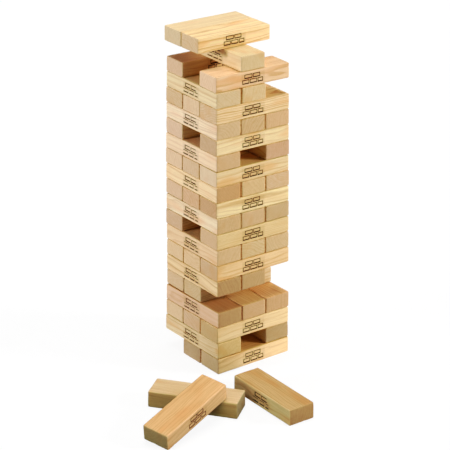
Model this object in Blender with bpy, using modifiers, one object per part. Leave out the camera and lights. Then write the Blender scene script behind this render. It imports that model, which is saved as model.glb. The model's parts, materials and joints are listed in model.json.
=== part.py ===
"""Giant tumbling tower, caught in the middle of a game.

Fifty-four identical wooden blocks: fifty-one are stacked in twenty-one
layers, up to three blocks to a layer and each layer turned a quarter turn
from the one below. Three pulled blocks are on the ground in front and to the
left: two lie flat and the third leans on one of them.

Frame: metres, +Z up. The origin is on the ground at the middle of the tower's
foot. Odd layers run along X, even layers run along Y. -Y is the tower's
front, -X its left side.
"""

import math

import bpy
from mathutils import Matrix, Vector

for leftover in list(bpy.data.objects):
    bpy.data.objects.remove(leftover, do_unlink=True)

# ---------------------------------------------------------------- dimensions
MM = 0.001

BLOCK_LENGTH = 180.0 * MM
WIDTH_PLAY = 1.0 * MM        # keeps three blocks narrower than one is long
BLOCK_WIDTH = BLOCK_LENGTH / 3 - WIDTH_PLAY
BLOCK_HEIGHT = 32.0 * MM
REST_GAP = 0.3 * MM          # gap under a block that rests on another
EDGE_RADIUS = 1.6 * MM       # eased edges, so that a block can be pushed out
EDGE_SEGMENTS = 2

LAYER_PITCH = BLOCK_HEIGHT + REST_GAP

# The stack, from the ground up. Columns: which of the three slots hold a block
# (X) or are empty (-), the play (mm) before and after the middle slot, how far
# the layer sits off centre (mm, along X and Y), and its turn (degrees).
# Slots are read front to back on odd layers and left to right on even layers.
LAYERS = [
    ("XX-", 2.3, 1.3, (0.8, -0.2), 1.2),
    ("X-X", 1.9, 1.9, (0.3, 0.2), 1.4),
    ("XXX", 1.7, 1.3, (0.1, -0.8), 0.6),
    ("XXX", 1.8, 1.4, (0.8, -0.9), 1.2),
    ("-XX", 1.1, 2.4, (2.0, -0.5), 0.3),
    ("XX-", 1.4, 1.1, (0.3, -1.6), 0.1),
    ("XXX", 0.7, 1.8, (0.2, -1.6), -0.1),
    ("XXX", 1.0, 1.5, (0.4, -0.7), 0.1),
    ("X-X", 2.1, 2.1, (0.0, 0.1), 0.0),
    ("XXX", 1.2, 2.2, (0.5, 0.0), 0.2),
    ("XXX", 1.8, 1.7, (0.0, 0.6), -0.3),
    ("XXX", 3.0, 1.2, (0.5, 0.6), -0.1),
    ("XXX", 2.0, 1.8, (-0.4, 1.0), -0.3),
    ("X-X", 2.0, 2.0, (0.1, 0.7), -0.2),
    ("X-X", 1.4, 1.4, (-0.4, 0.4), -0.4),
    ("XXX", 0.9, 1.7, (-0.5, 0.2), -0.3),
    ("XXX", 0.8, 2.4, (-0.5, 0.5), -0.4),
    ("XX-", 3.2, 1.1, (0.5, -0.3), -0.7),
    ("X-X", 0.6, 0.6, (-0.7, -0.2), -0.9),
    ("-X-", 1.0, 1.4, (-1.0, 1.1), -0.4),
    ("-XX", 1.4, 1.6, (-4.2, 1.1), 0.1),
]
SLOTS_ALONG_X = ("front", "middle", "back")
SLOTS_ALONG_Y = ("left", "middle", "right")

# Pulled blocks: the ground corner each is measured from, and the heading of
# its length in degrees counterclockwise from +X. The width lies to the left
# of the heading. The leaning block stands on its corner alone.
LEFT_CORNER = Vector((-276.5, -122.6, 0.0)) * MM
LEFT_HEADING = -51.6
RIGHT_CORNER = Vector((-100.0, -163.0, 0.0)) * MM
RIGHT_HEADING = -90.0
LEANING_CORNER = Vector((-340.5, -288.0, 0.0)) * MM
LEANING_HEADING = 16.5

# ---------------------------------------------------------------------- wood
# Linear base colours.
HONEY = (0.60, 0.40, 0.20)
PALE = (0.72, 0.55, 0.33)
SAND = (0.55, 0.39, 0.22)
BROWN = (0.38, 0.21, 0.09)
AMBER = (0.58, 0.33, 0.13)
ROUGHNESS = 0.62

# Stacked blocks take their tones from a cycle, stepped on by layer and by slot
# so that neighbours vary.
TONE_CYCLE = (HONEY, PALE, SAND, PALE, HONEY)
LAYER_STEP = 7
SLOT_STEP = 3
STANDOUT_TONES = {"layer_12_left_block": BROWN}


def wood(name, tone):
    """Bare sanded wood: one Principled material for each block."""
    color = (*tone, 1.0)
    material = bpy.data.materials.new("wood_" + name)
    material.use_nodes = True
    shader = material.node_tree.nodes["Principled BSDF"]
    shader.inputs["Base Color"].default_value = color
    shader.inputs["Roughness"].default_value = ROUGHNESS
    shader.inputs["Metallic"].default_value = 0.0
    material.diffuse_color = color
    return material


def stack_tone(name, number, slot):
    """The tone of a stacked block, from the cycle unless it stands out."""
    cycled = TONE_CYCLE[(number * LAYER_STEP + slot * SLOT_STEP) % len(TONE_CYCLE)]
    return STANDOUT_TONES.get(name, cycled)


# --------------------------------------------------------------------- block
collection = bpy.data.collections.new("giant_tumbling_tower")
bpy.context.scene.collection.children.link(collection)


def add_block(name, matrix, tone):
    """A sawn block: a cube primitive brought to size, its edges eased.

    The block's own frame has X along its length and the origin at its centre,
    so the line it is pushed out along runs through its origin.
    """
    bpy.ops.mesh.primitive_cube_add(size=1.0)
    block = bpy.context.active_object
    block.name = name
    block.data.name = name
    block.scale = (BLOCK_LENGTH, BLOCK_WIDTH, BLOCK_HEIGHT)
    bpy.ops.object.transform_apply(location=False, rotation=False, scale=True)

    edges = block.modifiers.new("eased_edges", "BEVEL")
    edges.width = EDGE_RADIUS
    edges.segments = EDGE_SEGMENTS
    edges.limit_method = "ANGLE"

    block.matrix_world = matrix
    block.data.materials.append(wood(name, tone))
    for owner in list(block.users_collection):
        owner.objects.unlink(block)
    collection.objects.link(block)


# --------------------------------------------------------------------- stack
def slot_centres(play_before, play_after):
    """Where the three slots' centre lines lie across a layer, about its middle."""
    to_middle = BLOCK_WIDTH + play_before * MM
    to_last = to_middle + BLOCK_WIDTH + play_after * MM
    first = -to_last / 2
    return first, first + to_middle, first + to_last


def add_layer(number, filled, play_before, play_after, shift, turn):
    """One layer of the stack; number 1 stands on the ground."""
    along_x = number % 2 == 1
    slot_names = SLOTS_ALONG_X if along_x else SLOTS_ALONG_Y
    quarter_turn = Matrix.Rotation(0.0 if along_x else math.pi / 2, 4, "Z")
    middle_height = (number - 1) * LAYER_PITCH + BLOCK_HEIGHT / 2
    layer_frame = (
        Matrix.Translation((shift[0] * MM, shift[1] * MM, middle_height))
        @ Matrix.Rotation(math.radians(turn), 4, "Z")
    )

    for slot, across in enumerate(slot_centres(play_before, play_after)):
        if filled[slot] != "X":
            continue
        x, y = (0.0, across) if along_x else (across, 0.0)
        name = f"layer_{number:02d}_{slot_names[slot]}_block"
        matrix = layer_frame @ Matrix.Translation((x, y, 0.0)) @ quarter_turn
        add_block(name, matrix, stack_tone(name, number, slot))


# ------------------------------------------------------------- pulled blocks
def heading_axes(degrees):
    """Unit vectors along a heading on the ground and to the left of it."""
    angle = math.radians(degrees)
    along = Vector((math.cos(angle), math.sin(angle), 0.0))
    left = Vector((-math.sin(angle), math.cos(angle), 0.0))
    return along, left


def block_from_corner(corner, along, left, lift=0.0):
    """The matrix of a block whose underside is lifted off a plane.

    The plane holds the corner and both directions. The corner marks the
    right-hand side of the block's starting end.
    """
    up = along.cross(left)
    centre = (corner + along * BLOCK_LENGTH / 2 + left * BLOCK_WIDTH / 2
              + up * (lift + BLOCK_HEIGHT / 2))
    axes = Matrix((along, left, up)).transposed()
    return Matrix.Translation(centre) @ axes.to_4x4()


def leaning_block(corner, degrees, support_corner, support_degrees):
    """The matrix of a block on one ground corner, leaning on a flat block.

    The ground plane is turned about the support's heading, through the
    corner, until it passes a rest gap above the support's near top edge.
    The block's underside lies a further rest gap above that plane.
    """
    edge, inward = heading_axes(support_degrees)
    reach = (support_corner - corner).dot(inward)
    slope = math.atan2(BLOCK_HEIGHT + REST_GAP, reach)
    tip = Matrix.Rotation(slope, 3, edge)
    along, left = heading_axes(degrees)
    return block_from_corner(corner, tip @ along, tip @ left, lift=REST_GAP)


# ------------------------------------------------------------------ assembly
for layer_number, layer in enumerate(LAYERS, start=1):
    add_layer(layer_number, *layer)

add_block("loose_block_left",
          block_from_corner(LEFT_CORNER, *heading_axes(LEFT_HEADING)), PALE)
add_block("loose_block_right",
          block_from_corner(RIGHT_CORNER, *heading_axes(RIGHT_HEADING)), AMBER)
add_block("loose_block_leaning",
          leaning_block(LEANING_CORNER, LEANING_HEADING, LEFT_CORNER, LEFT_HEADING), AMBER)
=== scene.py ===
"""Looks for the giant tumbling tower.

Every CAD block is replaced by a sanded softwood block of the same size: eased
edges with wear, rubbed pale along them with a painted highlight, small dings, a shallow branded
pictogram on both long sides, and solid wood that is cut from its own part of a log, so that the
rings run as long grain on the faces and as arcs on the ends.
"""

import json
import math

import bpy
import numpy as np
from mathutils import Matrix, Vector

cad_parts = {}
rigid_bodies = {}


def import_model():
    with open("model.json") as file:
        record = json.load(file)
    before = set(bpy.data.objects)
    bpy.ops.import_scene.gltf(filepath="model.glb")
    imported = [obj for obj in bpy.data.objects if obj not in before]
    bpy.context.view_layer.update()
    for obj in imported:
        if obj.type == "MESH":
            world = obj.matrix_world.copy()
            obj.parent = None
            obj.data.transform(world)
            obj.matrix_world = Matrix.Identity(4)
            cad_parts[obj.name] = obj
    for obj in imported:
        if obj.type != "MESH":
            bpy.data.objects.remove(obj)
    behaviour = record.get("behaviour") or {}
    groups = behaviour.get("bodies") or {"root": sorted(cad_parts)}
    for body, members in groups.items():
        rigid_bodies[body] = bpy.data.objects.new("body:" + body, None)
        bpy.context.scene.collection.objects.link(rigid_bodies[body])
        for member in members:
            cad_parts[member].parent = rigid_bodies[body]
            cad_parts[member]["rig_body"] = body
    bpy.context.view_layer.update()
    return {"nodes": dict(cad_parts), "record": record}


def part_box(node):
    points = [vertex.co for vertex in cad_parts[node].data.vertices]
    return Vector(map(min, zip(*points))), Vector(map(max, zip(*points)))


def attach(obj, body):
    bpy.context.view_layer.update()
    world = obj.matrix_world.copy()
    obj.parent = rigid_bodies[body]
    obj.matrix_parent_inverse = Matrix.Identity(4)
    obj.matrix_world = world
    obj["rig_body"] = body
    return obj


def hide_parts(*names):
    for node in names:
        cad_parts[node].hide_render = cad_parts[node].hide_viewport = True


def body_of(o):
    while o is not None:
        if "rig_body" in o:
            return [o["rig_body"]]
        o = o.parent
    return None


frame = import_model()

scene = bpy.context.scene

# ---------------------------------------------------------------- block mesh
MM = 0.001
EDGE = 1.7          # radius of the eased edges, mm
EDGE_STEPS = (0.0, 15.0, 30.0, 45.0)   # degrees, where an edge's rounding has a line
RECESS = 0.45       # depth of the branded mark, mm
WALL = 0.14         # width of the recess's sloping wall, mm
CELL = 4.5          # size of the mesh's cells on a plain stretch, mm

# The branded mark, a pictogram of stacked blocks in two courses. Each rectangle
# is (left, right, bottom, top) in mm about the mark's centre, with the width of
# its outline and of its lower stroke, which is heavier, or 0 and 0 for a filled
# one.
MARK = [
    (-26.4, -9.4, -10.0, -0.8, 1.7, 2.6),
    (-7.9, 9.6, -10.0, -0.8, 1.7, 2.6),
    (11.1, 24.4, -10.0, -0.8, 1.7, 2.6),
    (-21.2, -1.8, 0.8, 10.0, 1.7, 2.6),
    (-0.3, 17.2, 0.8, 10.0, 1.7, 2.6),
]
FILLED = [box[:4] for box in MARK if box[4] == 0.0]
RINGS = [box for box in MARK if box[4] > 0.0]


def mark_lines():
    """The grid lines, along and up the side, that the mark's edges need."""
    xs, zs = set(), set()
    for left, right, bottom, top in FILLED:
        xs.update((left, left + WALL, right - WALL, right))
        zs.update((bottom, bottom + WALL, top - WALL, top))
    for left, right, bottom, top, w, foot in RINGS:
        xs.update((left, left + WALL, left + w - WALL, left + w,
                   right - w, right - w + WALL, right - WALL, right))
        zs.update((bottom, bottom + WALL, bottom + foot - WALL, bottom + foot,
                   top - w, top - w + WALL, top - WALL, top))
    return sorted(xs), sorted(zs)


def axis_lines(half, extra=()):
    """Line positions along one axis of a block: rounding lines at both ends, even cells between, and any extra lines."""
    inner = half - EDGE
    ends = [inner + EDGE * math.tan(math.radians(a)) for a in EDGE_STEPS]
    ends = [inner - 4.0, inner - 2.0, inner - 0.7] + ends
    lines = sorted(set(round(s * e, 5) for e in ends for s in (-1, 1)) | set(round(e, 5) for e in extra))
    out = [lines[0]]
    for nxt in lines[1:]:
        gap = nxt - out[-1]
        if gap < 0.01:
            continue
        parts = max(1, int(math.ceil(gap / CELL - 1e-6)))
        start = out[-1]
        out += [start + gap * (i + 1) / parts for i in range(parts)]
    return np.array(out)


def lattice(half):
    """Vertices and faces of a box's skin on the grid, as (positions, faces)."""
    mx, mz = mark_lines()
    lines = [axis_lines(half[0], mx), axis_lines(half[1]), axis_lines(half[2], mz)]
    n = [len(line) for line in lines]
    index = -np.ones(n, int)
    on = np.zeros(n, bool)
    on[0], on[-1], on[:, 0], on[:, -1], on[:, :, 0], on[:, :, -1] = True, True, True, True, True, True
    index[on] = np.arange(on.sum())
    at = np.argwhere(on)
    points = np.stack([lines[k][at[:, k]] for k in range(3)], 1)
    faces = []

    def side(a, flip):
        c00, c10, c11, c01 = a[:-1, :-1], a[1:, :-1], a[1:, 1:], a[:-1, 1:]
        quad = np.stack([c00, c10, c11, c01], -1).reshape(-1, 4)
        faces.append(quad[:, ::-1] if flip else quad)

    side(index[:, :, 0], True)
    side(index[:, :, -1], False)
    side(index[:, 0, :], False)
    side(index[:, -1, :], True)
    side(index[0, :, :], True)
    side(index[-1, :, :], False)
    return points, np.concatenate(faces), at, n


def recess_at(points, n_lines, at, half):
    """How deep the mark is at each vertex, 0 to 1, on the two long sides."""
    depth = np.zeros(len(points))
    for layer, sign in ((0, 1.0), (n_lines[1] - 1, -1.0)):
        here = at[:, 1] == layer
        x, z = points[here, 0] * sign, points[here, 2]
        deep = np.zeros(here.sum())
        e = WALL * 0.5
        for left, right, bottom, top in FILLED:
            deep[(x > left + e) & (x < right - e) & (z > bottom + e) & (z < top - e)] = 1.0
        for left, right, bottom, top, w, foot in RINGS:
            outer = (x > left + e) & (x < right - e) & (z > bottom + e) & (z < top - e)
            hole = (x > left + w - e) & (x < right - w + e) & (z > bottom + foot - e) & (z < top - w + e)
            deep[outer & ~hole] = 1.0
        depth[here] = deep
    return depth


def wobble(points, rng, waves, length):
    """Smooth noise, about -1 to 1: a few sine waves with random directions and phases; length is in mm."""
    total = np.zeros(len(points))
    for _ in range(waves):
        k = rng.normal(size=3)
        k = k / np.linalg.norm(k) * (2 * math.pi / (length * rng.uniform(0.6, 1.6)))
        total += np.sin(points @ k + rng.uniform(0, 2 * math.pi))
    return total / math.sqrt(waves)


def shape_block(points, half, recess, seed):
    """Rounds the box's skin, wears its edges and presses the mark in. Material only ever goes inward."""
    rng = np.random.default_rng(seed)
    half = np.array(half)
    inner = half - EDGE
    q = np.clip(points, -inner, inner)
    d = points - q
    length = np.linalg.norm(d, axis=1)
    out = q + d / length[:, None] * EDGE
    # distance to the nearest edge of the box: the second smallest distance to a face
    gap = np.sort(half - np.abs(points), axis=1)
    to_edge, to_corner = gap[:, 1], gap[:, 2]
    wear = 0.10 + 0.16 * np.clip(0.5 + 0.5 * wobble(points, rng, 6, 60.0), 0, 1) \
        + 0.10 * np.clip(wobble(points, rng, 6, 14.0), 0, 1)
    # sanding leaves every face a little crowned, so that stacked blocks meet in a fine dark wedge
    crown = 0.26 + 0.12 * np.clip(wobble(points, rng, 5, 120.0), -1, 1)
    push = wear * np.exp(-((to_edge / 1.5) ** 2)) + 0.35 * np.exp(-((to_corner / 2.6) ** 2)) \
        + crown * np.exp(-((to_edge / 3.4) ** 2))
    # dings along the edges, and shallow dents on the faces
    for _ in range(int(rng.integers(5, 9))):
        centre = half * rng.choice([-1.0, 1.0], 3)
        centre[int(rng.choice([0, 0, 0, 1, 2]))] *= rng.uniform(-1, 1)
        radius, deep = rng.uniform(2.0, 4.5), rng.uniform(0.2, 0.65)
        away = np.linalg.norm(points - centre, axis=1)
        push += deep * np.exp(-((away / radius) ** 2))
    for _ in range(int(rng.integers(3, 6))):
        centre = half * rng.uniform(-0.9, 0.9, 3)
        face = int(rng.choice([1, 2, 2]))
        centre[face] = half[face] * rng.choice([-1.0, 1.0])
        radius, deep = rng.uniform(3.0, 7.0), rng.uniform(0.08, 0.22)
        away = np.linalg.norm(points - centre, axis=1)
        push += deep * np.exp(-((away / radius) ** 2)) * (recess < 0.5)
    inward = -d / length[:, None]
    out = out + inward * push[:, None]
    out[:, 1] -= np.sign(points[:, 1]) * recess * RECESS
    return out


# --------------------------------------------------------------- block frame
def block_frame(node):
    """(centre, along, across, up, half sizes in mm) of a CAD block, from its faces."""
    me = node.data
    count = len(me.polygons)
    normal, area = np.empty(count * 3), np.empty(count)
    me.polygons.foreach_get("normal", normal)
    me.polygons.foreach_get("area", area)
    normal = normal.reshape(-1, 3)
    strongest = np.argmax(np.abs(normal), axis=1)
    normal = normal * np.sign(normal[np.arange(count), strongest])[:, None]
    found = []
    left = np.ones(count, bool)
    while len(found) < 3 and left.any():
        groups = {}
        for i in np.nonzero(left)[0]:
            groups.setdefault(tuple(np.round(normal[i], 2)), []).append(i)
        best = max(groups.values(), key=lambda g: area[g].sum())
        axis = (normal[best] * area[best][:, None]).sum(0)
        axis /= np.linalg.norm(axis)
        found.append(axis)
        left &= np.abs(normal @ axis) < 0.2
    up, across, along = found   # faces by area: flat face, long side, end
    if up[2] < 0:
        up = -up
    if along @ np.array((1.0, 1.0, 0.0)) < 0:
        along = -along
    across = np.cross(up, along)
    co = np.empty(len(me.vertices) * 3)
    me.vertices.foreach_get("co", co)
    co = co.reshape(-1, 3)
    axes = np.stack([along, across, up])
    local = co @ axes.T
    lo, hi = local.min(0), local.max(0)
    return ((lo + hi) / 2) @ axes, axes, (hi - lo) / 2 / MM


# ------------------------------------------------------------------ material
def linear(r, g, b):
    """sRGB 0-255 to linear."""
    return tuple((c / 255 / 12.92) if c / 255 <= 0.04045 else ((c / 255 + 0.055) / 1.055) ** 2.4 for c in (r, g, b))


class Tree:
    """A little help to write a node tree as expressions."""

    def __init__(self, material):
        self.nodes, self.links = material.node_tree.nodes, material.node_tree.links

    def put(self, socket, value):
        if isinstance(value, bpy.types.NodeSocket):
            self.links.new(value, socket)
        elif value is not None:
            socket.default_value = value

    def math(self, op, a, b=None, c=None, clamp=False):
        n = self.nodes.new("ShaderNodeMath")
        n.operation, n.use_clamp = op, clamp
        for s, v in zip(n.inputs, (a, b, c)):
            self.put(s, v)
        return n.outputs[0]

    def vector(self, op, a, b=None, scale=None):
        n = self.nodes.new("ShaderNodeVectorMath")
        n.operation = op
        self.put(n.inputs[0], a)
        if b is not None:
            self.put(n.inputs[1], b)
        if scale is not None:
            self.put(n.inputs["Scale"], scale)
        return n.outputs["Value"] if op in ("LENGTH", "DOT_PRODUCT") else n.outputs[0]

    def split(self, v):
        n = self.nodes.new("ShaderNodeSeparateXYZ")
        self.put(n.inputs[0], v)
        return n.outputs[0], n.outputs[1], n.outputs[2]

    def join(self, x, y, z):
        n = self.nodes.new("ShaderNodeCombineXYZ")
        for s, v in zip(n.inputs, (x, y, z)):
            self.put(s, v)
        return n.outputs[0]

    def attribute(self, name, output="Vector"):
        n = self.nodes.new("ShaderNodeAttribute")
        n.attribute_type, n.attribute_name = "GEOMETRY", name
        return n.outputs[output]

    def noise(self, at, scale=1.0, detail=2.0, rough=0.5, colour=False):
        n = self.nodes.new("ShaderNodeTexNoise")
        n.noise_dimensions = "3D"
        self.put(n.inputs["Vector"], at)
        n.inputs["Scale"].default_value = scale
        n.inputs["Detail"].default_value = detail
        n.inputs["Roughness"].default_value = rough
        return n.outputs["Color" if colour else "Fac"]

    def steps(self, value, *stops):
        """A smooth curve through (position, value) stops."""
        n = self.nodes.new("ShaderNodeValToRGB")
        n.color_ramp.interpolation = "EASE"
        self.put(n.inputs[0], value)
        while len(n.color_ramp.elements) < len(stops):
            n.color_ramp.elements.new(1.0)
        for e, (p, v) in zip(n.color_ramp.elements, stops):
            e.position, e.color = p, (v, v, v, 1)
        return n.outputs[0]

    def between(self, value, low, high, to_low=0.0, to_high=1.0):
        n = self.nodes.new("ShaderNodeMapRange")
        n.interpolation_type = "SMOOTHSTEP"
        self.put(n.inputs["Value"], value)
        for s, v in zip(("From Min", "From Max", "To Min", "To Max"), (low, high, to_low, to_high)):
            self.put(n.inputs[s], v)
        return n.outputs[0]

    def mix(self, factor, a, b, blend="MIX"):
        n = self.nodes.new("ShaderNodeMix")
        n.data_type, n.blend_type = "RGBA", blend
        self.put(n.inputs[0], factor)
        for s, v in ((n.inputs[6], a), (n.inputs[7], b)):
            self.put(s, v if isinstance(v, bpy.types.NodeSocket) else (*v, 1.0))
        return n.outputs[2]


def wood(name, light, dark, warm, end_tint=(1.0, 1.0, 1.0)):
    """Bare sanded softwood. light is the earlywood, dark the latewood, warm the colour of the resinous patches, and
    end_tint a multiplier on the ends."""
    m = bpy.data.materials.new(name)
    m.use_nodes = True
    t = Tree(m)
    shader = m.node_tree.nodes["Principled BSDF"]

    log = t.attribute("log_mm")
    block = t.attribute("block_mm")
    tint = t.attribute("tint")
    contrast, pitch, blotch = t.split(t.attribute("traits"))
    burn = t.attribute("burn", "Fac")
    bx, by, bz = t.split(block)

    # the rings: distance from the pith, wandering a little along the log
    drift = t.noise(t.vector("MULTIPLY", log, (0.007, 0.030, 0.030)), detail=2.0, colour=True)
    drift = t.vector("MULTIPLY", t.vector("SUBTRACT", drift, (0.5, 0.5, 0.5)), (0.0, 15.0, 15.0))
    wandering = t.vector("ADD", log, drift)
    lx, ly, lz = t.split(wandering)
    radius = t.vector("LENGTH", t.join(0.0, ly, lz))
    uneven = t.noise(t.join(t.math("MULTIPLY", radius, 0.07), t.math("MULTIPLY", lx, 0.0015), 0.0), detail=1.0)
    ring = t.math("ADD", t.math("DIVIDE", radius, pitch), t.math("MULTIPLY", uneven, 3.0))
    late = t.steps(t.math("FRACT", ring), (0.0, 0.12), (0.30, 0.0), (0.62, 0.25), (0.90, 1.0), (1.0, 0.12))

    # streaks and fibres along the grain, which show as pores on the ends
    broad = t.noise(t.vector("MULTIPLY", wandering, (0.004, 0.15, 0.15)), detail=2.0)
    fine = t.noise(t.vector("MULTIPLY", wandering, (0.018, 0.85, 0.85)), detail=3.0, rough=0.6)
    fibre = t.noise(t.vector("MULTIPLY", log, (0.11, 3.4, 3.4)), detail=2.0, rough=0.7)
    patch = t.noise(t.vector("MULTIPLY", log, (0.012, 0.035, 0.035)), detail=1.0)

    # where on the block
    ax, ay, az = t.math("ABSOLUTE", bx), t.math("ABSOLUTE", by), t.math("ABSOLUTE", bz)
    gx, gy, gz = t.math("SUBTRACT", 90.0, ax), t.math("SUBTRACT", 29.5, ay), t.math("SUBTRACT", 16.0, az)
    end = t.between(gx, 0.9, 0.35)
    edge = t.math("SUBTRACT", t.math("ADD", t.math("ADD", gx, gy), gz),
                  t.math("ADD", t.math("MAXIMUM", t.math("MAXIMUM", gx, gy), gz),
                         t.math("MINIMUM", t.math("MINIMUM", gx, gy), gz)))
    wear_and_highlight = t.between(t.math("ADD", edge, t.math("MULTIPLY", fine, 1.6)), 0.9, 2.6, 1.0, 0.0)

    # colour
    grain = t.math("MULTIPLY", late, contrast)
    grain = t.math("ADD", grain, t.math("MULTIPLY", t.math("SUBTRACT", broad, 0.5), 1.05))
    grain = t.math("ADD", grain, t.math("MULTIPLY", t.math("SUBTRACT", fine, 0.5), 0.75))
    grain = t.math("ADD", grain, 0.10, clamp=True)
    colour = t.mix(grain, light, dark)
    resin = t.math("MULTIPLY", t.between(patch, 0.50, 0.74), blotch)
    colour = t.mix(resin, colour, warm)
    pores = t.between(fibre, 0.56, 0.72)
    colour = t.mix(t.math("MULTIPLY", pores, 0.30), colour, tuple(c * 0.55 for c in dark))
    # the ends drink in more light: darker, a little greyer, with rays from the pith
    turn = t.math("ARCTAN2", ly, lz)
    rays = t.noise(t.join(t.math("MULTIPLY", turn, 42.0), t.math("MULTIPLY", radius, 0.05), 3.0), detail=2.0)
    sawn = t.noise(t.join(t.math("MULTIPLY", t.math("ADD", by, t.math("MULTIPLY", bz, 0.35)), 0.9),
                          t.math("MULTIPLY", bz, 0.02), t.math("MULTIPLY", bx, 0.1)), detail=1.0)
    end_colour = t.mix(0.55, colour, tuple(0.62 * a + 0.38 * b for a, b in zip(light, dark)))
    end_colour = t.mix(1.0, end_colour, tuple(a * b for a, b in zip((0.83, 0.815, 0.78), end_tint)), "MULTIPLY")
    end_colour = t.mix(t.math("MULTIPLY", t.math("SUBTRACT", rays, 0.35), 0.40, clamp=True), end_colour, tuple(c * 0.80 for c in dark))
    end_colour = t.mix(t.math("MULTIPLY", t.math("SUBTRACT", sawn, 0.40), 0.30, clamp=True), end_colour, light)
    colour = t.mix(end, colour, end_colour)
    # handled edges: rubbed pale, which is real wear and also a painted highlight along every edge
    colour = t.mix(t.math("MULTIPLY", wear_and_highlight, 0.22), colour, tuple(min(1.0, c * 1.10 + 0.02) for c in light))
    # each block's tone, which on some top faces also carries painted shade
    colour = t.mix(1.0, colour, tint, "MULTIPLY")
    # the branded mark and the scorch round it
    near = t.math("MAXIMUM", t.math("SUBTRACT", ax, 27.0), t.math("SUBTRACT", az, 10.0))
    halo = t.math("MULTIPLY", t.between(t.math("ADD", near, t.math("MULTIPLY", broad, 3.0)), 4.5, 0.5), t.between(ay, 28.0, 28.6))
    colour = t.mix(t.math("MULTIPLY", halo, 0.14), colour, linear(150, 98, 52))
    char = t.mix(t.between(fine, 0.35, 0.70), linear(44, 27, 14), linear(88, 57, 33))
    burnt = t.math("MULTIPLY", burn, t.between(broad, 0.10, 0.55, 0.80, 0.97))
    colour = t.mix(burnt, colour, char)
    t.put(shader.inputs["Base Color"], colour)

    # finish
    rough = t.math("ADD", t.math("MULTIPLY", fine, 0.16), 0.46)
    rough = t.math("SUBTRACT", rough, t.math("MULTIPLY", grain, 0.07))
    rough = t.math("ADD", rough, t.math("MULTIPLY", end, 0.14))
    rough = t.math("SUBTRACT", rough, t.math("MULTIPLY", wear_and_highlight, 0.08))
    rough = t.math("ADD", rough, t.math("MULTIPLY", burn, 0.15), clamp=True)
    t.put(shader.inputs["Roughness"], rough)
    shader.inputs["Specular IOR Level"].default_value = 0.38
    shader.inputs["Metallic"].default_value = 0.0

    # relief: raised latewood, fibres, open pores, a rougher end
    height = t.math("MULTIPLY", late, 0.35)
    height = t.math("ADD", height, t.math("MULTIPLY", fine, 0.55))
    height = t.math("SUBTRACT", height, t.math("MULTIPLY", pores, 0.60))
    height = t.math("ADD", height, t.math("MULTIPLY", t.math("MULTIPLY", sawn, end), 1.1))
    height = t.math("SUBTRACT", height, t.math("MULTIPLY", t.math("MULTIPLY", fine, burn), 0.9))
    bump = t.nodes.new("ShaderNodeBump")
    bump.inputs["Strength"].default_value = 0.55
    bump.inputs["Distance"].default_value = 0.00035
    t.put(bump.inputs["Height"], height)
    t.put(shader.inputs["Normal"], bump.outputs[0])
    return m


WOODS = {
    "wood_honey": wood("wood_honey", linear(242, 213, 163), linear(209, 160, 104), linear(230, 170, 110)),
    "wood_pale": wood("wood_pale", linear(244, 220, 176), linear(217, 178, 127), linear(234, 185, 132)),
    "wood_sand": wood("wood_sand", linear(234, 205, 163), linear(198, 155, 111), linear(218, 167, 124)),
    "wood_brown": wood("wood_brown", linear(243, 217, 171), linear(215, 171, 117), linear(232, 178, 121), (0.96, 0.88, 0.80)),
    "wood_amber": wood("wood_amber", linear(235, 190, 138), linear(202, 144, 92), linear(222, 152, 100)),
}
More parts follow.
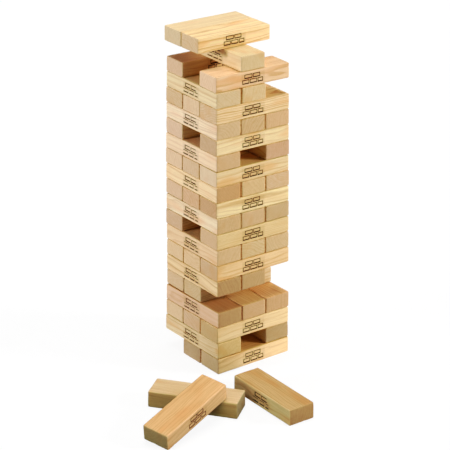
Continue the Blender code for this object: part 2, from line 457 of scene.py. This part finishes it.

# ------------------------------------------------------------------- blocks
# Blocks whose wood stands out: a multiplier on red, green and blue, and a
# further one on the block's ends. A third one, on the top faces that lie open under an overhang or
# at the floor of a gap, and on the leaning loose block's top, is painted shade: it darkens and warms them.
TINTS = {
    "layer_01_front_block": (1.20, 1.16, 1.00),
    "layer_01_middle_block": (0.90, 0.90, 0.88),
    "layer_02_left_block": (0.88, 0.92, 0.88),
    "layer_02_right_block": (0.90, 0.90, 0.88),
    "layer_03_back_block": (1.08, 1.08, 1.06),
    "layer_03_front_block": (1.08, 1.04, 0.96),
    "layer_03_middle_block": (0.96, 0.96, 0.94),
    "layer_04_left_block": (0.80, 0.68, 0.64),
    "layer_04_middle_block": (0.90, 0.90, 0.88),
    "layer_04_right_block": (0.90, 0.90, 0.88),
    "layer_05_back_block": (0.92, 0.92, 0.90),
    "layer_05_middle_block": (0.90, 0.90, 0.88),
    "layer_06_left_block": (1.04, 1.04, 0.92),
    "layer_06_middle_block": (0.90, 0.90, 0.88),
    "layer_07_back_block": (1.08, 1.08, 1.06),
    "layer_07_front_block": (1.04, 1.00, 0.92),
    "layer_07_middle_block": (1.08, 1.08, 1.06),
    "layer_08_left_block": (0.92, 0.84, 0.76),
    "layer_08_middle_block": (1.08, 1.08, 1.06),
    "layer_08_right_block": (1.08, 1.08, 1.06),
    "layer_09_back_block": (0.98, 0.98, 0.96),
    "layer_09_front_block": (0.92, 0.88, 0.76),
    "layer_10_left_block": (1.04, 1.12, 1.24),
    "layer_10_middle_block": (0.92, 0.92, 0.90),
    "layer_10_right_block": (0.90, 0.90, 0.88),
    "layer_11_back_block": (0.98, 0.98, 0.96),
    "layer_11_front_block": (1.20, 1.36, 1.24),
    "layer_11_middle_block": (0.96, 0.96, 0.94),
    "layer_12_left_block": (1.08, 1.08, 1.00),
    "layer_12_middle_block": (1.08, 1.08, 1.06),
    "layer_12_right_block": (1.08, 1.08, 1.06),
    "layer_13_back_block": (1.08, 1.08, 1.06),
    "layer_13_front_block": (1.00, 1.00, 0.92),
    "layer_13_middle_block": (1.08, 1.08, 1.06),
    "layer_14_left_block": (1.00, 0.96, 0.92),
    "layer_15_back_block": (1.08, 1.08, 1.06),
    "layer_15_front_block": (1.08, 1.16, 1.24),
    "layer_16_left_block": (1.20, 1.28, 1.36),
    "layer_16_middle_block": (1.06, 1.06, 1.04),
    "layer_16_right_block": (0.98, 0.98, 0.96),
    "layer_17_back_block": (1.08, 1.08, 1.06),
    "layer_17_front_block": (1.08, 1.12, 1.12),
    "layer_17_middle_block": (1.08, 1.08, 1.06),
    "layer_18_left_block": (0.96, 0.96, 0.84),
    "layer_18_middle_block": (1.08, 1.08, 1.06),
    "layer_19_back_block": (1.08, 1.08, 1.06),
    "layer_19_front_block": (1.00, 0.88, 0.88),
    "layer_20_middle_block": (0.96, 0.96, 0.92),
    "layer_21_back_block": (1.04, 1.04, 1.02),
    "layer_21_middle_block": (1.20, 1.24, 1.20),
    "loose_block_leaning": (0.92, 0.90, 0.88),
    "loose_block_left": (1.04, 1.04, 1.08),
}

END_TINTS = {
    "layer_01_front_block": (0.76, 0.80, 0.92),
    "layer_01_middle_block": (0.76, 0.76, 0.92),
    "layer_02_left_block": (1.36, 1.36, 1.36),
    "layer_02_right_block": (0.88, 0.88, 1.00),
    "layer_03_back_block": (1.08, 1.12, 1.08),
    "layer_03_front_block": (0.76, 0.72, 0.72),
    "layer_03_middle_block": (0.96, 0.96, 1.12),
    "layer_04_left_block": (0.92, 0.92, 0.92),
    "layer_04_middle_block": (1.04, 0.92, 0.96),
    "layer_04_right_block": (1.04, 0.96, 1.04),
    "layer_05_back_block": (1.04, 1.00, 0.96),
    "layer_05_middle_block": (1.00, 0.96, 0.92),
    "layer_06_left_block": (0.80, 0.72, 0.80),
    "layer_06_middle_block": (0.92, 0.88, 0.96),
    "layer_07_back_block": (1.00, 1.04, 1.16),
    "layer_07_front_block": (0.92, 0.96, 1.12),
    "layer_07_middle_block": (1.12, 1.12, 1.04),
    "layer_08_left_block": (1.08, 1.12, 1.28),
    "layer_08_middle_block": (0.96, 1.04, 1.12),
    "layer_08_right_block": (1.04, 1.08, 1.12),
    "layer_09_back_block": (0.96, 0.96, 1.08),
    "layer_09_front_block": (1.04, 1.00, 1.16),
    "layer_10_left_block": (0.96, 0.88, 0.88),
    "layer_10_middle_block": (1.04, 0.96, 1.04),
    "layer_10_right_block": (0.96, 0.92, 0.96),
    "layer_11_back_block": (1.04, 0.96, 1.00),
    "layer_11_front_block": (0.80, 0.64, 0.68),
    "layer_11_middle_block": (1.04, 0.96, 1.04),
    "layer_12_left_block": (0.88, 0.80, 0.92),
    "layer_12_middle_block": (1.08, 1.08, 1.04),
    "layer_12_right_block": (1.00, 1.04, 1.28),
    "layer_13_back_block": (1.20, 1.24, 1.28),
    "layer_13_front_block": (1.12, 1.16, 1.36),
    "layer_13_middle_block": (1.00, 1.04, 1.16),
    "layer_14_left_block": (0.96, 0.92, 0.96),
    "layer_14_right_block": (0.96, 0.88, 1.16),
    "layer_15_back_block": (1.00, 0.96, 1.08),
    "layer_15_front_block": (0.84, 0.76, 0.84),
    "layer_16_left_block": (0.96, 0.92, 0.92),
    "layer_16_middle_block": (0.96, 0.96, 1.12),
    "layer_16_right_block": (1.08, 0.96, 0.96),
    "layer_17_back_block": (0.96, 1.00, 1.04),
    "layer_17_front_block": (1.00, 1.00, 1.08),
    "layer_17_middle_block": (1.16, 1.20, 1.24),
    "layer_18_left_block": (1.08, 1.08, 1.24),
    "layer_18_middle_block": (1.04, 1.12, 1.24),
    "layer_19_back_block": (1.00, 1.00, 1.12),
    "layer_19_front_block": (1.16, 1.24, 1.36),
    "layer_20_middle_block": (1.12, 1.12, 1.20),
    "layer_21_back_block": (0.96, 1.00, 1.04),
    "layer_21_middle_block": (0.88, 0.88, 0.96),
}

# painted shade: darker, warmer top faces where an overhang or a gap shades them, and on the leaning loose block's top
PAINTED_TOP_SHADE = {
    "layer_01_front_block": (0.80, 0.72, 0.56),
    "layer_04_left_block": (0.74, 0.66, 0.52),
    "layer_04_middle_block": (0.88, 0.76, 0.60),
    "layer_04_right_block": (1.04, 0.88, 0.80),
    "layer_13_front_block": (0.84, 0.80, 0.68),
    "layer_19_back_block": (0.80, 0.72, 0.76),
    "loose_block_leaning": (0.94, 0.92, 0.88),
}

made = {}
HALF_MM = (90.0, 29.5, 16.0)
skin, quads, grid_at, grid_n = lattice(HALF_MM)
depth = recess_at(skin, grid_n, grid_at, HALF_MM)
slots = {entry["node"]: entry["material_slot"] for entry in frame["record"]["subparts"]}


def build(name, node, number):
    centre, axes, half = block_frame(node)
    if np.abs(half - np.array(HALF_MM)).max() > 0.2:
        raise RuntimeError(f"{name} isn't the size the block mesh is made for: {half}")
    rng = np.random.default_rng(4200 + number)
    local = shape_block(skin, HALF_MM, depth, 900 + number)
    world = centre + (local * MM) @ axes

    me = bpy.data.meshes.new("wood_" + name)
    me.vertices.add(len(world))
    me.vertices.foreach_set("co", world.astype(np.float32).ravel())
    me.loops.add(quads.size)
    me.loops.foreach_set("vertex_index", quads.astype(np.int32).ravel())
    me.polygons.add(len(quads))
    me.polygons.foreach_set("loop_start", np.arange(0, quads.size, 4, dtype=np.int32))
    me.update(calc_edges=True)
    me.polygons.foreach_set("use_smooth", np.ones(len(quads), bool))
    me.set_sharp_from_angle(angle=math.radians(32))

    # the block's place in its log: how far the pith is, and on which side
    side = rng.uniform(0, 2 * math.pi)
    away = rng.uniform(38.0, 130.0)
    tilt = rng.uniform(-0.035, 0.035, 2)
    log = np.empty_like(skin)
    c, s = math.cos(side), math.sin(side)
    log[:, 0] = skin[:, 0] + rng.uniform(0, 4000.0)
    log[:, 1] = skin[:, 1] * c - skin[:, 2] * s + away + tilt[0] * skin[:, 0]
    log[:, 2] = skin[:, 1] * s + skin[:, 2] * c + tilt[1] * skin[:, 0] + rng.uniform(-4, 4)
    tint = np.array(TINTS.get(name, (1.0, 1.0, 1.0))) * (1.0 + rng.uniform(-0.035, 0.03)) \
        * (1.0, 1.0 + rng.uniform(-0.015, 0.015), 1.0 + rng.uniform(-0.05, 0.04))
    tone_and_top_shade = np.tile(tint, (len(skin), 1))
    tone_and_top_shade[np.abs(skin[:, 0]) > HALF_MM[0] - 0.01] *= END_TINTS.get(name, (1.0, 1.0, 1.0))
    # the top faces get the painted shade
    tone_and_top_shade[skin[:, 2] > HALF_MM[2] - 0.01] *= PAINTED_TOP_SHADE.get(name, (1.0, 1.0, 1.0))
    traits = (rng.uniform(0.35, 0.85), rng.uniform(3.4, 6.5), rng.uniform(0.1, 0.8))

    def store(key, kind, field, values):
        me.attributes.new(key, kind, "POINT").data.foreach_set(field, np.ascontiguousarray(values, np.float32).ravel())

    store("block_mm", "FLOAT_VECTOR", "vector", skin)
    store("log_mm", "FLOAT_VECTOR", "vector", log)
    store("tint", "FLOAT_VECTOR", "vector", tone_and_top_shade)
    store("traits", "FLOAT_VECTOR", "vector", np.tile(traits, (len(skin), 1)))
    store("burn", "FLOAT", "value", depth)

    piece = bpy.data.objects.new("wood_" + name, me)
    scene.collection.objects.link(piece)
    return piece


for number, (name, node) in enumerate(sorted(frame["nodes"].items())):
    piece = build(name, node, number)
    slot = slots[name]
    piece.data.materials.append(WOODS[slot])
    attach(piece, body_of(node)[0])
    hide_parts(name)
    made[name] = piece

# --------------------------------------------------------------------- stage
# The sheet is pale to the eye everywhere. The light it sends back to the blocks
# is that of two cards laid left and right of the line of sight, cool on the
# left and warm on the right, and little comes from between them.
AMBIENT = 0.05
COOL_CARD, WARM_CARD = (0.66, 0.69, 0.77), (1.20, 1.16, 1.08)
GAP_SHARE, FLAG_SHARE = 0.22, 0.5
tower = [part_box(name) for name in frame["nodes"] if name.startswith("layer_")]
middle = [(min(lo[k] for lo, hi in tower) + max(hi[k] for lo, hi in tower)) / 2 for k in range(2)]
ground = min(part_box(n)[0].z for n in frame["nodes"])
bpy.ops.mesh.primitive_plane_add(size=60.0, location=(0, 0, ground - 0.0002))
floor = bpy.context.active_object
floor.name = "studio_floor"
fm = bpy.data.materials.new("studio_floor")
fm.use_nodes = True
ft = Tree(fm)
fs = fm.node_tree.nodes["Principled BSDF"]
geometry = ft.nodes.new("ShaderNodeNewGeometry").outputs["Position"]
speckle = ft.noise(geometry, scale=35.0, detail=3.0)
gx, gy, _ = ft.split(ft.vector("SUBTRACT", geometry, (middle[0], middle[1], 0.0)))
card = ft.mix(ft.between(ft.math("SUBTRACT", gx, gy), -0.3, 0.3), COOL_CARD, WARM_CARD)
# the sine of twice the azimuth: 0 square on to a side of the tower, 1 on the diagonals before and behind it
diagonal = ft.math("DIVIDE", ft.math("MULTIPLY", ft.math("MULTIPLY", gx, gy), 2.0),
                   ft.math("ADD", ft.math("MULTIPLY", gx, gx), ft.math("MULTIPLY", gy, gy)))
share = ft.between(diagonal, 0.30, 0.80, 1.0, GAP_SHARE)
for name in ("loose_block_left", "loose_block_leaning", "loose_block_right"):
    lo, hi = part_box(name)
    away = ft.vector("LENGTH", ft.vector("SUBTRACT", geometry, ((lo.x + hi.x) / 2, (lo.y + hi.y) / 2, ground)))
    share = ft.math("MULTIPLY", share, ft.between(away, 0.10, 0.21, FLAG_SHARE, 1.0))
card = ft.vector("SCALE", card, scale=share)
direct = ft.nodes.new("ShaderNodeLightPath").outputs["Is Camera Ray"]
# seen directly the sheet is lit mostly by its own glow, so that shadows on it stay faint
ft.put(fs.inputs["Base Color"], ft.mix(direct, (0.0, 0.0, 0.0), ft.mix(speckle, (0.09, 0.09, 0.09), (0.11, 0.11, 0.11))))
ft.put(fs.inputs["Emission Color"], ft.mix(direct, card, (0.90, 0.90, 0.90)))
fs.inputs["Emission Strength"].default_value = 1.0
fs.inputs["Roughness"].default_value = 0.9
fs.inputs["Specular IOR Level"].default_value = 0.1
floor.data.materials.append(fm)

world = bpy.data.worlds.new("studio")
scene.world = world
world.use_nodes = True
sky = Tree(world)
backdrop = world.node_tree.nodes["Background"]
seen = sky.nodes.new("ShaderNodeLightPath").outputs["Is Camera Ray"]
sky.put(backdrop.inputs["Color"], (1.0, 1.0, 1.0, 1.0))
sky.put(backdrop.inputs["Strength"], sky.math("ADD", sky.math("MULTIPLY", seen, 1.0 - AMBIENT), AMBIENT))


def sun(name, towards, strength, colour, angle):
    """A soft parallel light from the direction towards, as seen from the object."""
    data = bpy.data.lights.new(name, "SUN")
    data.energy, data.color, data.angle = strength * math.pi, colour, math.radians(angle)
    lamp = bpy.data.objects.new(name, data)
    lamp.rotation_mode = "QUATERNION"
    lamp.rotation_quaternion = Vector(towards).to_track_quat("Z", "Y")
    lamp.visible_glossy = False  # sanded wood: no mirrored glare when seen against the light
    scene.collection.objects.link(lamp)
    return lamp


def light_only(lamp, names, keep):
    """The lamp lights these blocks only (keep), or everything but them."""
    group = bpy.data.collections.new(lamp.name + "_link")
    for n in names:
        group.objects.link(made[n])
    lamp.light_linking.receiver_collection = group
    for entry in group.collection_objects:
        entry.light_linking.link_state = "INCLUDE" if keep else "EXCLUDE"


COOL, WARM, WHITE = (0.99, 1.0, 1.12), (1.01, 1.0, 1.00), (1.0, 1.0, 1.0)
LOOSE = [n for n in made if n.startswith("loose_")]
PAIR = ["loose_block_left", "loose_block_leaning"]
light_only(sun("studio_top", (0.05, 0.05, 1.0), 0.63, WHITE, 36), LOOSE, False)
light_only(sun("studio_left", (-0.957, 0.203, 0.208), 0.71, COOL, 12), LOOSE, False)
light_only(sun("studio_front", (0.656, -0.656, 0.375), 0.725, WARM, 12), LOOSE, False)
light_only(sun("studio_rear", (0.55, 0.50, 0.60), 0.08, WHITE, 50), LOOSE, False)
# the pulled blocks lie at the edge of the light
light_only(sun("pair_top", (-0.1, 0.1, 1.0), 0.59, (1.04, 0.93, 0.84), 60), PAIR, True)
light_only(sun("leaning_right", (0.50, -0.70, 0.50), 0.82, (1.0, 1.01, 1.14), 40), ["loose_block_leaning"], True)
light_only(sun("leaning_end", (-0.80, -0.50, 0.30), 0.48, (0.74, 1.18, 1.38), 40), ["loose_block_leaning"], True)
light_only(sun("left_side", (-0.70, -0.55, 0.45), 0.165, (1.0, 0.98, 0.42), 40), ["loose_block_left"], True)
light_only(sun("left_end", (0.56, -0.70, 0.45), 0.35, (0.88, 1.06, 1.1), 40), ["loose_block_left"], True)
light_only(sun("single_left", (-0.83, -0.30, 0.47), 0.63, (0.78, 1.16, 1.24), 40), ["loose_block_right"], True)
light_only(sun("single_right", (0.30, -0.80, 0.50), 0.12, WHITE, 50), ["loose_block_right"], True)
light_only(sun("single_top", (0.0, 0.0, 1.0), 0.52, WHITE, 60), ["loose_block_right"], True)

# -------------------------------------------------------------------- camera
# A view camera: its back is nearly upright and its lens is dropped, which
# keeps the tower's sides parallel. The drop belongs to this standpoint only,
# so it follows the camera's distance from it and is zero anywhere else.
EYE = (-2.29184, -3.16675, 1.83442)
RIGHT = Vector((0.81166221, -0.58411386, 0.00393283))
UP = Vector((0.06845179, 0.10180010, 0.99244702))
DROP = -1.17248
camera_data = bpy.data.cameras.new("studio_camera")
camera = bpy.data.objects.new("studio_camera", camera_data)
scene.collection.objects.link(camera)
camera_data.sensor_fit = "HORIZONTAL"
camera_data.sensor_width = 36.0
camera_data.lens = 159.033
camera_data.clip_start, camera_data.clip_end = 0.05, 200.0
RIGHT.normalize()
BACK = RIGHT.cross(UP).normalized()
UP = BACK.cross(RIGHT)
camera.matrix_world = Matrix((
    (RIGHT.x, UP.x, BACK.x, EYE[0]),
    (RIGHT.y, UP.y, BACK.y, EYE[1]),
    (RIGHT.z, UP.z, BACK.z, EYE[2]),
    (0, 0, 0, 1)))
camera_data.shift_y = DROP
curve = camera_data.driver_add("shift_y")
curve.driver.type = "SUM"
standpoint = bpy.data.objects.new("studio_standpoint", None)
standpoint.location = EYE
scene.collection.objects.link(standpoint)
place = curve.driver.variables.new()
place.type = "LOC_DIFF"
for target, thing in zip(place.targets, (camera, standpoint)):
    target.id = thing
for old in list(curve.modifiers):
    curve.modifiers.remove(old)
for distance, value in ((0.0, DROP), (0.05, DROP), (0.10, 0.0)):
    key = curve.keyframe_points.insert(distance, value)
    key.interpolation = "LINEAR"
curve.extrapolation = "CONSTANT"
scene.camera = camera

scene.view_settings.view_transform = "Standard"
scene.view_settings.look = "None"
scene.view_settings.exposure = 0.0
scene.view_settings.gamma = 1.0
# a print's deeper shadows: below TOE the light falls away as its power 1.5, above it nothing changes
TOE = 0.30
scene.view_settings.use_curve_mapping = True
print_curve = scene.view_settings.curve_mapping
for x in (0.02, 0.05, 0.10, 0.15, 0.20, 0.25, TOE):
    print_curve.curves[3].points.new(x, TOE * (x / TOE) ** 1.5)
for point in print_curve.curves[3].points:
    point.handle_type = "VECTOR"
print_curve.update()

# ---------------------------------------------------------------------- update
bpy.context.view_layer.update()
